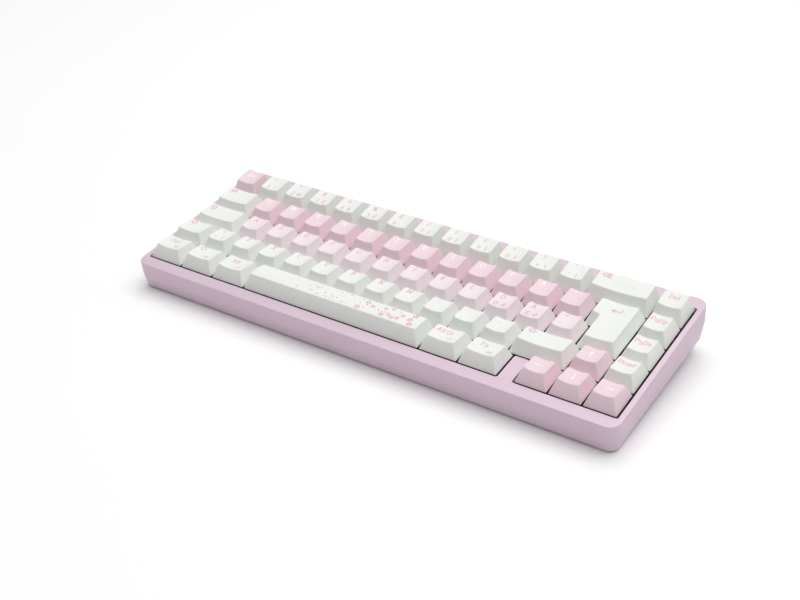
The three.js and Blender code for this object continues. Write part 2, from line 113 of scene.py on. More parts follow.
# ---- Keys, row by row from the back: name, width in units, and the legends at the back left, front left and
# ---- front right of the top face. An @ marks a sign that is drawn rather than written ----
KEYS = [
    [("esc", 1, "Esc", "", ""), ("1", 1, "!", "1", ""), ("2", 1, '"', "2", "@"), ("3", 1, "#", "3", "£"),
     ("4", 1, "¤", "4", "$"), ("5", 1, "%", "5", "€"), ("6", 1, "&", "6", ""), ("7", 1, "/", "7", "{"),
     ("8", 1, "(", "8", "["), ("9", 1, ")", "9", "]"), ("0", 1, "=", "0", "}"), ("plus", 1, "?", "+", "\\"),
     ("acute", 1, "`", "´", "|"), ("backspace", 2, "@erase", "", ""), ("delete", 1, "Del", "", "")],
    [("tab", 1.5, "@tab", "", ""), ("q", 1, "Q", "", ""), ("w", 1, "W", "", ""), ("e", 1, "E", "", "€"),
     ("r", 1, "R", "", ""), ("t", 1, "T", "", ""), ("y", 1, "Y", "", ""), ("u", 1, "U", "", ""),
     ("i", 1, "I", "", ""), ("o", 1, "O", "", ""), ("p", 1, "P", "", ""), ("a_ring", 1, "Å", "", ""),
     ("umlaut", 1, "^", "¨", "~"), (None, 1.5, "", "", ""), ("page_up", 1, "PgUp", "", "")],
    [("caps_lock", 1.75, "@caps", "", ""), ("a", 1, "A", "", ""), ("s", 1, "S", "", ""), ("d", 1, "D", "", ""),
     ("f", 1, "F", "", ""), ("g", 1, "G", "", ""), ("h", 1, "H", "", ""), ("j", 1, "J", "", ""),
     ("k", 1, "K", "", ""), ("l", 1, "L", "", ""), ("o_umlaut", 1, "Ö", "Ø", "Æ"), ("a_umlaut", 1, "Ä", "Æ", "Ø"),
     ("apostrophe", 1, "*", "'", ""), (None, 1.25, "", "", ""), ("page_down", 1, "PgDn", "", "")],
    [("shift_left", 1.25, "@shift", "", ""), ("angle", 1, ">", "<", "|"), ("z", 1, "Z", "", ""),
     ("x", 1, "X", "", ""), ("c", 1, "C", "", ""), ("v", 1, "V", "", ""), ("b", 1, "B", "", ""),
     ("n", 1, "N", "", ""), ("m", 1, "M", "", ""), ("comma", 1, ";", ",", ""), ("period", 1, ":", ".", ""),
     ("minus", 1, "_", "-", ""), ("shift_right", 1.75, "@shift", "", ""), ("up", 1, "@up", "", ""),
     ("home", 1, "Home", "", "")],
    [("ctrl", 1.25, "Ctrl", "", "@dots"), ("super", 1.25, "@diamond", "", "@dots"), ("alt", 1.25, "Alt", "", "@dash"),
     ("space", 6.25, "", "", ""), ("alt_right", 1.25, "Alt Gr", "", "@dash"), ("fn", 1.25, "Fn", "", "@dots"),
     (None, 0.5, "", "", ""), ("left", 1, "@left", "", ""), ("down", 1, "@down", "", ""),
     ("right", 1, "@right", "", "")],
]
ARROWS = {"up": 90, "left": 180, "down": -90, "right": 0}
HOMING = ("f", "j")


def deck_frame():
    """The matrix from the deck frame, in millimetres, to the row frame, in metres."""
    press = Vector(next(j["axis"] for j in frame["joints"] if j["type"] == "slide"))
    lean = Matrix.Rotation(math.asin(press.y), 4, "X")
    points = [lean.inverted() @ v.co for v in frame["nodes"]["upper_case"].data.vertices]
    corner = Vector((-FIELD_X / 2 * MM, min(p.y for p in points) + CASE_FRONT * MM, max(p.z for p in points)))
    return lean @ Matrix.Translation(corner) @ Matrix.Scale(MM, 4)


DECK = deck_frame()
ROW = Matrix.Scale(MM, 4)


# ---- Materials ----
def linear(red, green, blue):
    """A colour given as 0 to 255 values on the screen, as the linear colour that a shader takes."""
    shares = [c / 255 for c in (red, green, blue)]
    return tuple(c / 12.92 if c <= 0.04045 else ((c + 0.055) / 1.055) ** 2.4 for c in shares)


def shade(color, factor):
    return tuple(min(1, c * factor) for c in color)


def surface(name, color, roughness, metallic=0.0, grain=0.00012, bump=0.1, mottle=0.03, patch=0.02,
            roughness_swing=0.06, **inputs):
    """A material with a fine grain in its relief and its gloss, and a slow drift in its colour. grain and patch
    are the sizes of the two patterns in metres."""
    material = bpy.data.materials.new(name)
    material.use_nodes = True
    nodes, links = material.node_tree.nodes, material.node_tree.links
    shader = nodes["Principled BSDF"]
    shader.inputs["Metallic"].default_value = metallic
    for socket, value in inputs.items():
        shader.inputs[socket.replace("_", " ")].default_value = value
    place = nodes.new("ShaderNodeTexCoord").outputs["Object"]

    def noise(size, detail):
        node = nodes.new("ShaderNodeTexNoise")
        node.inputs["Scale"].default_value = 1 / size
        node.inputs["Detail"].default_value = detail
        links.new(place, node.inputs["Vector"])
        return node.outputs["Fac"]

    fine = noise(grain, 2)
    drift = nodes.new("ShaderNodeValToRGB")
    drift.color_ramp.elements[0].position = 0.3
    drift.color_ramp.elements[1].position = 0.7
    drift.color_ramp.elements[0].color = (*shade(color, 1 - mottle), 1)
    drift.color_ramp.elements[1].color = (*shade(color, 1 + mottle), 1)
    links.new(noise(patch, 3), drift.inputs["Fac"])
    links.new(drift.outputs["Color"], shader.inputs["Base Color"])

    gloss = nodes.new("ShaderNodeMapRange")
    gloss.inputs["To Min"].default_value = roughness - roughness_swing
    gloss.inputs["To Max"].default_value = roughness + roughness_swing
    links.new(fine, gloss.inputs["Value"])
    links.new(gloss.outputs["Result"], shader.inputs["Roughness"])

    relief = nodes.new("ShaderNodeBump")
    relief.inputs["Strength"].default_value = bump
    relief.inputs["Distance"].default_value = grain
    links.new(fine, relief.inputs["Height"])
    links.new(relief.outputs["Normal"], shader.inputs["Normal"])
    return material


LILAC = linear(216, 193, 208)
ANODISED = surface("anodised_lilac", LILAC, 0.42, metallic=0.1, grain=0.00015, bump=0.12, mottle=0.015, patch=0.03,
                   IOR=1.5)
PBT = dict(roughness=0.56, grain=0.00018, bump=0.16, mottle=0.01, patch=0.012, IOR=1.5)
WHITE_CAP = surface("pbt_white", linear(237, 239, 234), **PBT)
PINK_CAP = surface("pbt_pink", linear(239, 214, 223), **PBT)
BLUSH_CAP = surface("pbt_blush", linear(239, 227, 232), **PBT)
INK = dict(roughness=0.56, grain=0.0002, bump=0.08, patch=0.0008)
INK_ROSE = surface("dye_rose", linear(236, 176, 195), mottle=0.05, **INK)
INK_PINK = surface("dye_pink", linear(230, 157, 180), mottle=0.05, **INK)
INK_WHITE = surface("dye_white", linear(252, 248, 246), mottle=0.02, **INK)
BLACK_PLATE = surface("black_anodised", linear(38, 38, 42), 0.4, metallic=0.8, grain=0.0001, bump=0.1, mottle=0.06)
SOLDER_MASK = surface("solder_mask", linear(22, 26, 30), 0.32, grain=0.0004, bump=0.05, mottle=0.1, patch=0.004)
NYLON = surface("black_nylon", linear(44, 42, 48), 0.5, grain=0.00025, bump=0.12, mottle=0.06, patch=0.003)
SLIDER_RED = surface("pom_rose", linear(214, 120, 140), 0.4, grain=0.0003, bump=0.06, mottle=0.04, patch=0.002)
FOAM = surface("closed_cell_foam", linear(40, 40, 44), 0.95, grain=0.0006, bump=0.6, mottle=0.15, patch=0.0012)
RUBBER = surface("moulded_rubber", linear(70, 66, 72), 0.82, grain=0.0004, bump=0.3, mottle=0.08, patch=0.003)
STEEL = surface("drawn_steel", linear(205, 207, 210), 0.24, metallic=1.0, grain=0.0001, bump=0.06, mottle=0.04)
NICKEL = surface("nickel", linear(196, 192, 186), 0.28, metallic=1.0, grain=0.0002, bump=0.05, mottle=0.04)
GOLD = surface("gold_plate", linear(226, 184, 96), 0.22, metallic=1.0, grain=0.0001, bump=0.03, mottle=0.03)
SCREW = surface("black_oxide", linear(52, 50, 54), 0.35, metallic=0.9, grain=0.0001, bump=0.08, mottle=0.08)
WRAP = surface("shrink_film", linear(92, 112, 140), 0.3, grain=0.001, bump=0.15, mottle=0.05, patch=0.006)

# ---- Mesh building. A body is a pair of lists: points and faces ----
def flat(points, z=0.0):
    return [Vector((p.x, p.y, z)) for p in points]


def rectangle(x0, x1, y0, y1):
    return [Vector((x0, y0)), Vector((x1, y0)), Vector((x1, y1)), Vector((x0, y1))]


def shrink(corners, distance):
    """The corners of an outline of right angles, with each edge moved inwards."""
    moved = []
    for i, corner in enumerate(corners):
        into = (corner - corners[i - 1]).normalized()
        away = (corners[(i + 1) % len(corners)] - corner).normalized()
        moved.append(corner + distance * Vector((-into.y - away.y, into.x + away.x)))
    return moved


def outline(corners, radius, counts, arc=5):
    """A closed outline of right angles with round corners. counts gives the steps along each straight edge."""
    points = []
    for i, corner in enumerate(corners):
        after = corners[(i + 1) % len(corners)]
        into = (corner - corners[i - 1]).normalized()
        away = (after - corner).normalized()
        for step in range(arc + 1):
            angle = step / arc * math.pi / 2
            points.append(corner - radius * (1 - math.sin(angle)) * into + radius * (1 - math.cos(angle)) * away)
        start, end = corner + radius * away, after - radius * away
        points += [start.lerp(end, step / counts[i]) for step in range(1, counts[i])]
    return points


def between(low, high, share):
    return [a.lerp(b, share) for a, b in zip(low, high)]


def loft(rings, closed=True):
    """A body through rings of equal length. A closed one has a face across each end."""
    count = len(rings[0])
    points = [p for ring in rings for p in ring]
    faces = []
    for level in range(len(rings) - 1):
        low = level * count
        for i in range(count):
            j = (i + 1) % count
            faces.append((low + i, low + j, low + count + j, low + count + i))
    if closed:
        last = (len(rings) - 1) * count
        faces.append(tuple(reversed(range(count))))
        faces.append(tuple(range(last, last + count)))
    return points, faces


def joined(*bodies):
    points, faces = [], []
    for more_points, more_faces in bodies:
        start = len(points)
        points += more_points
        faces += [tuple(start + i for i in face) for face in more_faces]
    return points, faces


def finished(work):
    """The body that a bmesh holds. The bmesh is freed."""
    work.verts.index_update()
    body = [v.co.copy() for v in work.verts], [tuple(v.index for v in f.verts) for f in work.faces]
    work.free()
    return body


def moved(body, matrix):
    return [matrix @ p for p in body[0]], body[1]


def block(x0, x1, y0, y1, z0, z1, edge=0.15):
    """A block with chamfered edges."""
    rings = []
    for inset, z in [(edge, z0), (0, z0 + edge), (0, z1 - edge), (edge, z1)]:
        corners = shrink(rectangle(x0, x1, y0, y1), inset)
        rings.append(flat(outline(corners, edge, [1] * 4, arc=1), z))
    return loft(rings)


def circle(x, y, z, radius, count=24):
    turns = [2 * math.pi * i / count for i in range(count)]
    return [Vector((x + radius * math.cos(t), y + radius * math.sin(t), z)) for t in turns]


def hexagon(x, y, z, radius, count=24):
    """A hexagon with the same number of points as a circle, so that the two can share a body."""
    points = []
    for turn in (2 * math.pi * i / count for i in range(count)):
        off_axis = (turn + math.pi / 6) % (math.pi / 3) - math.pi / 6
        reach = radius * math.cos(math.pi / 6) / math.cos(off_axis)
        points.append(Vector((x + reach * math.cos(turn), y + reach * math.sin(turn), z)))
    return points


def lathe(x, y, profile, count=24):
    """A round body about an upright axis, from a profile of radius and height."""
    return loft([circle(x, y, z, radius, count) for radius, z in profile])


def sweep(path, radius, count=12):
    """A round wire along a path."""
    rings = []
    for i, point in enumerate(path):
        ahead = (path[min(i + 1, len(path) - 1)] - path[max(i - 1, 0)]).normalized()
        side = ahead.cross(Vector((0, 0, 1))).normalized()
        turn = Matrix((side, side.cross(ahead), -ahead)).transposed()
        rings.append([point + turn @ p for p in circle(0, 0, 0, radius, count)])
    return loft(rings)


def placed(name, data):
    """A new object in the scene."""
    thing = bpy.data.objects.new(name, data)
    bpy.context.scene.collection.objects.link(thing)
    return thing


def add(name, body, material, rides, replaces=None, matrix=DECK, sharp=40):
    """Makes a piece from a body, and smooths its surface where it bends by less than sharp degrees."""
    mesh = bpy.data.meshes.new(name)
    mesh.from_pydata([matrix @ p for p in body[0]], [], body[1])
    work = bmesh.new()
    work.from_mesh(mesh)
    bmesh.ops.remove_doubles(work, verts=work.verts, dist=1e-7)
    bmesh.ops.recalc_face_normals(work, faces=work.faces)
    work.to_mesh(mesh)
    work.free()
    piece = placed(name, mesh)
    mesh.materials.append(material)
    mesh.set_sharp_from_angle(angle=math.radians(sharp))
    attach(piece, rides)
    if replaces:
        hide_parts(replaces)
    return piece


def cut(piece, cutter_body, matrix=DECK):
    """Takes a body away from a piece."""
    mesh = bpy.data.meshes.new("cutter")
    mesh.from_pydata([matrix @ p for p in cutter_body[0]], [], cutter_body[1])
    work = bmesh.new()
    work.from_mesh(mesh)
    bmesh.ops.recalc_face_normals(work, faces=work.faces)
    work.to_mesh(mesh)
    work.free()
    cutter = placed("cutter", mesh)
    modifier = piece.modifiers.new("cut", "BOOLEAN")
    modifier.object = cutter
    modifier.solver = "EXACT"
    graph = bpy.context.evaluated_depsgraph_get()
    piece.data = bpy.data.meshes.new_from_object(piece.evaluated_get(graph))
    piece.modifiers.clear()
    bpy.data.objects.remove(cutter)


# ---- Case ----
def underside(y):
    return -CASE_DEPTH - math.tan(CASE_WEDGE) * (y + CASE_FRONT)


def lean_in(z):
    """How far the outer wall stands in at a height, with a soft bend where it starts to lean."""
    depth = -z - CASE_FACE
    if depth <= -KINK_BLEND:
        return 0.0
    if depth >= KINK_BLEND:
        return depth * CASE_DRAFT
    return CASE_DRAFT * (depth + KINK_BLEND) ** 2 / (4 * KINK_BLEND)


CASE_CORNERS = rectangle(-CASE_SIDE, FIELD_X + CASE_SIDE, -CASE_FRONT, FIELD_Y + CASE_REAR)
CASE_STEPS = [24, 10, 24, 10]
CASE_ARC = 16


def case_ring(inset_and_height):
    """A ring around the case. The function gives each point's inset from the outline and its height, from its y."""
    outer = outline(CASE_CORNERS, CASE_CORNER, CASE_STEPS, CASE_ARC)
    inner = outline(shrink(CASE_CORNERS, 1), CASE_CORNER - 1, CASE_STEPS, CASE_ARC)
    ring = []
    for a, b in zip(outer, inner):
        inset, z = inset_and_height(a.y)
        point = a.lerp(b, inset)
        ring.append(Vector((point.x, point.y, z)))
    return ring


def upright_ring(inset, z):
    return case_ring(lambda y: (inset, z))


def cavity_ring(x0, height_at):
    corners = rectangle(x0, FIELD_X - x0, CAVITY[2], CAVITY[3])
    return [Vector((p.x, p.y, height_at(p.y))) for p in outline(corners, 0.8, CASE_STEPS, CASE_ARC)]


def opening_ring(inset, z):
    tongue0, tongue1 = 12.5 * UNIT + OPENING_GAP, 13 * UNIT - OPENING_GAP
    x0, x1, y0, y1 = -OPENING_GAP, FIELD_X + OPENING_GAP, -OPENING_GAP, FIELD_Y + OPENING_GAP
    tip = UNIT - OPENING_GAP
    corners = [Vector(p) for p in ((x0, y0), (tongue0, y0), (tongue0, tip), (tongue1, tip), (tongue1, y0),
                                   (x1, y0), (x1, y1), (x0, y1))]
    steps = [8, 4, 1, 4, 4, 8, 12, 8]
    return flat(outline(shrink(corners, inset), OPENING_CORNER, steps, 6), z)


def upper_case():
    edge = [(CASE_EDGE * (1 - math.sin(a)), -CASE_EDGE * (1 - math.cos(a)))
            for a in (math.radians(15 * i) for i in range(7))]
    outside = [upright_ring(inset, z) for inset, z in edge]
    outside += [upright_ring(lean_in(z), z) for z in (-3.0, -6.0, -7.9, -8.6, -9.2, -9.8, -10.4, -11.1, -13.5)]
    foot = 0.8
    outside.append(case_ring(lambda y: (lean_in(underside(y)), underside(y) + foot)))
    outside.append(case_ring(lambda y: (lean_in(underside(y)) + 0.25 * foot, underside(y) + 0.3 * foot)))
    outside.append(case_ring(lambda y: (lean_in(underside(y)) + foot, underside(y))))
    inside = [
        cavity_ring(CAVITY[0] - 0.3, underside),
        cavity_ring(CAVITY[0], lambda y: underside(y) + 0.3),
        cavity_ring(CAVITY[0], lambda y: -6.2),
        cavity_ring(-1.0, lambda y: -6.2),
        cavity_ring(-1.0, lambda y: -CASE_LIP),
    ]
    opening = [opening_ring(-0.3, 0), opening_ring(-0.09, -0.09), opening_ring(0, -0.3), opening_ring(0, -CASE_LIP)]
    shell = joined(loft(outside + inside, closed=False), loft(opening, closed=False))
    work = bmesh.new()
    mesh = bpy.data.meshes.new("shell")
    mesh.from_pydata(shell[0], [], shell[1])
    work.from_mesh(mesh)
    work.edges.ensure_lookup_table()
    for height in (0, -CASE_LIP):
        rim = [e for e in work.edges if e.is_boundary and all(abs(v.co.z - height) < 1e-4 for v in e.verts)]
        bmesh.ops.triangle_fill(work, edges=rim, use_beauty=True)
    case = add("case_shell", finished(work), ANODISED, "base", "upper_case", sharp=20)
    cut(case, usb_recess())
    return case


USB_X, USB_Z = 2.25 * UNIT, -16.45
USB_MOUTH = CAVITY[3] - 0.2


def usb_ring(width, height, radius, y, x=USB_X, z=USB_Z, steps=(4, 2, 4, 2)):
    """A ring of a rectangle with round corners that faces back."""
    corners = rectangle(-width / 2, width / 2, -height / 2, height / 2)
    return [Vector((x - p.x, y, z + p.y)) for p in outline(corners, radius, steps, 6)]


def usb_recess():
    wall = FIELD_Y + CASE_REAR - lean_in(USB_Z)
    sections = [(0.0, CAVITY[3] - 0.8), (0.0, wall - 0.5), (1.0, wall + 0.5), (1.0, wall + 6)]
    return loft([usb_ring(13 + grow, 7.4 + grow, 2.8 + grow / 2, y) for grow, y in sections])


COVER_SCREWS = [(x * FIELD_X, y) for x in (0.035, 0.35, 0.65, 0.965) for y in (0.5, FIELD_Y - 3.5)]
SLANT = Matrix.Rotation(-CASE_WEDGE, 4, "X")


def on_underside(x, y):
    """The matrix from a frame that lies on the underside, with z into the case, to the deck frame."""
    return Matrix.Translation((x, y, underside(y))) @ SLANT


def bottom_cover():
    x0, x1 = CAVITY[0] + 0.3, CAVITY[1] - 0.3
    y0, y1 = CAVITY[2] + 0.3, CAVITY[3] - 0.3
    rib_top = PLATE_BOTTOM - 0.3
    front, rear = y0 + STRIP_DEPTH, y1 - STRIP_DEPTH
    side = [(y0 + 0.3, underside(y0)), (y1 - 0.3, underside(y1)), (y1, underside(y1) + 0.3), (y1, rib_top),
            (rear, rib_top), (rear, underside(rear) + COVER_THICKNESS),
            (front, underside(front) + COVER_THICKNESS), (front, rib_top), (y0, rib_top), (y0, underside(y0) + 0.3)]
    cover = add("cover_plate", loft([[Vector((x, y, z)) for y, z in side] for x in (x0, x1)]),
                ANODISED, "base", "bottom_cover", sharp=25)
    notch = 11
    rear_notch = block(USB_X - notch, USB_X + notch, rear - 1, y1 + 1, underside(rear) + COVER_THICKNESS, 0)
    sinks = [moved(lathe(0, 0, [(3.1, -1), (3.1, 0), (2.9, 0.25), (1.6, 1.5)]), on_underside(x, y))
             for x, y in COVER_SCREWS]
    cut(cover, joined(rear_notch, *sinks))
    cover.data.set_sharp_from_angle(angle=math.radians(25))


def cover_screws():
    for number, (x, y) in enumerate(COVER_SCREWS, 1):
        rings = [circle(0, 0, 1.6, 1.4), circle(0, 0, 0.5, 2.6), circle(0, 0, 0.3, 2.75), circle(0, 0, 0.2, 2.65),
                 hexagon(0, 0, 0.2, 1.5), hexagon(0, 0, 0.35, 1.35), hexagon(0, 0, 1.3, 1.35)]
        screw = moved(loft(rings), on_underside(x, y))
        add(f"cover_screw_{number}", screw, SCREW, "base")


def feet():
    """Four rubber pads with round ends, in the row frame. Each fills its CAD solid."""
    for end in ("front", "rear"):
        for side in ("left", "right"):
            node = f"foot_{end}_{side}"
            low, high = (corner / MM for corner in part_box(node))
            points = [v.co / MM for v in frame["nodes"][node].data.vertices]
            tops = {round(p.y, 2): p.z for p in points if p.z > 0.5}
            (y0, z0), (y1, z1) = min(tops.items()), max(tops.items())
            rings = []
            for inset, share in [(1.4, 0), (0.9, 0.05), (0.8, 0.15), (0.1, 0.85), (0, 0.95), (0.1, 1)]:
                corners = shrink(rectangle(low.x, high.x, low.y, high.y), inset)
                ring = outline(corners, 3.0, [6, 2, 6, 2], 8)
                rings.append([Vector((p.x, p.y, share * (z0 + (z1 - z0) * (p.y - y0) / (y1 - y0)))) for p in ring])
            add(f"{node}_pad", loft(rings), RUBBER, "base", node, matrix=ROW)


# ---- Keycaps ----
class Cell:
    """Where a key stands and how its top face lies."""

    def __init__(self, name, row, x0, width, legends):
        self.name, self.row, self.legends = name, row, legends
        self.x0, self.x1 = x0 * UNIT, (x0 + width) * UNIT
        self.y0, self.y1 = (ROWS - 1 - row) * UNIT, (ROWS - row) * UNIT
        self.set_profile(PROFILE[row])

    def set_profile(self, profile):
        self.side, self.front, self.back, self.front_z, self.back_z = profile
        self.dish = 0 if self.name == "space" else CAP_DISH

    def centre(self):
        return (self.x0 + self.x1) / 2, (self.y0 + self.y1) / 2

    def base(self):
        m = CAP_MARGIN
        return rectangle(self.x0 + m, self.x1 - m, self.y0 + m, self.y1 - m)

    def top(self):
        return rectangle(self.x0 + self.side, self.x1 - self.side, self.y0 + self.front, self.y1 - self.back)

    def half_width(self):
        """Half the narrowest stretch of the top face."""
        return min(self.x1 - self.x0 - 2 * self.side, self.y1 - self.y0 - self.front - self.back) / 2

    def height(self, x, y):
        """The height of the top face, hollowed like the inside of a cylinder that runs from front to back."""
        half = (self.x1 - self.x0) / 2 - self.side
        across = (x - self.x0 - self.side - half) / half
        depth = self.y1 - self.back - self.y0 - self.front
        along = (y - self.y0 - self.front) / depth
        crown = SPACE_RISE + SPACE_CROWN * (1 - (2 * along - 1) ** 2) if self.name == "space" else 0
        return self.front_z + (self.back_z - self.front_z) * along - self.dish * (1 - across**2) + crown


class EnterCell(Cell):
    """The Enter key: a column two units deep with an ear at its back left."""

    def __init__(self):
        super().__init__("enter", 1, 13.5, 1.5, ("@enter", "", ""))
        self.y0 = 2 * UNIT
        self.ear_x, self.column_x, self.step_y = 13.5 * UNIT, 13.75 * UNIT, 3 * UNIT
        self.set_profile(ENTER_PROFILE)

    def centre(self):
        return (self.column_x + self.x1) / 2, self.step_y

    def shape(self, side, front, back):
        points = ((self.column_x + side, self.y0 + front), (self.x1 - side, self.y0 + front),
                  (self.x1 - side, self.y1 - back), (self.ear_x + side, self.y1 - back),
                  (self.ear_x + side, self.step_y + front), (self.column_x + side, self.step_y + front))
        return [Vector(p) for p in points]

    def base(self):
        return self.shape(CAP_MARGIN, CAP_MARGIN, CAP_MARGIN)

    def top(self):
        return self.shape(self.side, self.front, self.back)

    def half_width(self):
        return (UNIT - self.front - self.back) / 2


def all_cells():
    cells = []
    for row, keys in enumerate(KEYS):
        x = 0
        for name, width, *legends in keys:
            if name:
                cells.append(Cell(name, row, x, width, legends))
            x += width
    return cells + [EnterCell()]


CELLS = all_cells()
# A body holds one key or two neighbours, and its name says which.
BODY_OF = {part: body for body in frame["bodies"] if body.startswith("key_") for part in body[4:].split("_and_")}
PINK_SINGLES = ("esc", "up", "left", "down", "right")


def color_row(cell):
    """pink, blush or white, by where the key is."""
    letter = len(cell.legends[0]) == 1 and cell.row in (1, 2) and cell.name != "enter"
    if cell.name in PINK_SINGLES or (letter and cell.row == 1):
        return "pink"
    return "blush" if letter else "white"


CAP_LOOKS = {"pink": (PINK_CAP, INK_WHITE), "blush": (BLUSH_CAP, INK_ROSE), "white": (WHITE_CAP, INK_ROSE)}


def cap_body(cell):
    """A hollow keycap: a skirt, leaning walls, a rounded edge and a hollowed top face."""
    base, top = cell.base(), cell.top()
    counts = []
    for i, corner in enumerate(base):
        length = (base[(i + 1) % len(base)] - corner).length
        counts.append(max(2, min(28, round(length / 1.6))))

    def ring(corners, radius, z=None):
        points = outline(corners, radius, counts, 6)
        return [Vector((p.x, p.y, cell.height(p.x, p.y) if z is None else z)) for p in points]

    skirt = ring(base, CAP_BASE_CORNER, CAP_BOTTOM)
    brim = ring(top, CAP_TOP_CORNER)
    rise = min(cell.front_z, cell.back_z)
    shoulder = between(skirt, brim, 1 - CAP_EDGE / (rise - CAP_BOTTOM))
    rim = ring(shrink(top, CAP_EDGE), CAP_TOP_CORNER - CAP_EDGE)
    rings = [ring(shrink(base, 0.15), CAP_BASE_CORNER - 0.15, CAP_BOTTOM), between(skirt, brim, 0.02)]
    rings += [between(skirt, brim, share) for share in (0.08, 0.35, 0.65)]
    for step in range(6):
        share = step / 5
        rings.append(between(between(shoulder, brim, share), between(brim, rim, share), share))
    insets = [CAP_EDGE + (cell.half_width() - 0.35 - CAP_EDGE) * share for share in (0.15, 0.4, 0.7, 1)]
    rings += [ring(shrink(top, inset), max(0.3, CAP_TOP_CORNER - inset)) for inset in insets]
    ceiling_corners = [a.lerp(b, CAP_CEILING / rise) for a, b in zip(base, top)]
    inside = [
        ring(shrink(ceiling_corners, CAP_WALL + 0.5), 0.5, CAP_CEILING),
        ring(shrink(ceiling_corners, CAP_WALL), 0.9, CAP_CEILING - 0.6),
        ring(shrink(base, CAP_WALL), 0.6, CAP_BOTTOM + 0.2),
        ring(shrink(base, CAP_WALL - 0.2), 0.6, CAP_BOTTOM),
    ]
    return loft(inside + rings)


def homing_bar(cell):
    """A short raised bar near the front edge of the top face."""
    x, y = cell.centre()[0], cell.y0 + cell.front + 1.1
    z = cell.height(x, y)
    return block(x - 1.6, x + 1.6, y - 0.3, y + 0.3, z - 0.4, z + 0.3, 0.15)


def cap_socket(cell):
    """The round post under a cap that takes the slider's cross."""
    x, y = cell.centre()
    return lathe(x, y, [(2.5, CAP_CEILING + 0.3), (2.75, 0.5), (2.6, 0.3)], 20)


def slider(cell):
    """The part of the switch that moves: a plain block under a cross."""
    x, y = cell.centre()
    return joined(
        block(x - 2.9, x + 2.9, y - 2.3, y + 2.3, -3.4, 0.2, 0.3),
        block(x - 2.0, x + 2.0, y - 0.6, y + 0.6, 0.1, 3.8, 0.1),
        block(x - 0.6, x + 0.6, y - 2.0, y + 2.0, 0.1, 3.8, 0.1),
    )


def keycaps():
    for cell in CELLS:
        look = color_row(cell)
        body = BODY_OF[cell.name]
        parts = [cap_body(cell), cap_socket(cell)]
        if cell.name in HOMING:
            parts.append(homing_bar(cell))
        add(f"cap_{cell.name}", joined(*parts), CAP_LOOKS[look][0], body, body)
        add(f"slider_{cell.name}", slider(cell), SLIDER_RED, body)


# ---- Legends ----
INK_DEPTH, INK_RISE = 0.12, 0.07
INK_STRIP = 1.0
# Where a legend stands, from the front left corner of its key, and its height.
WORD_AT, WORD_HEIGHT = (9.2, 12.9), 3.15
BACK_AT, BACK_HEIGHT = (7.7, 14.5), 3.5
FRONT_LEFT_AT, FRONT_LEFT_HEIGHT = (7.0, 7.7), 3.0
FRONT_RIGHT_AT, FRONT_RIGHT_HEIGHT = (UNIT - 7.6, 8.0), 2.9
ARROW_AT = (9.4, 11.0)
SMALL_SIGN_AT = (15.8, 7.4)
ENTER_SIGN_AT = (15, UNIT + 10.2)
SLOPE = 0.03  # how far a letter leans to the right for each step up
NIB = (12, 4.5, math.radians(18))  # the pen's breadth, thickness and angle
SERIF = 13
LETTER_GAP = 9

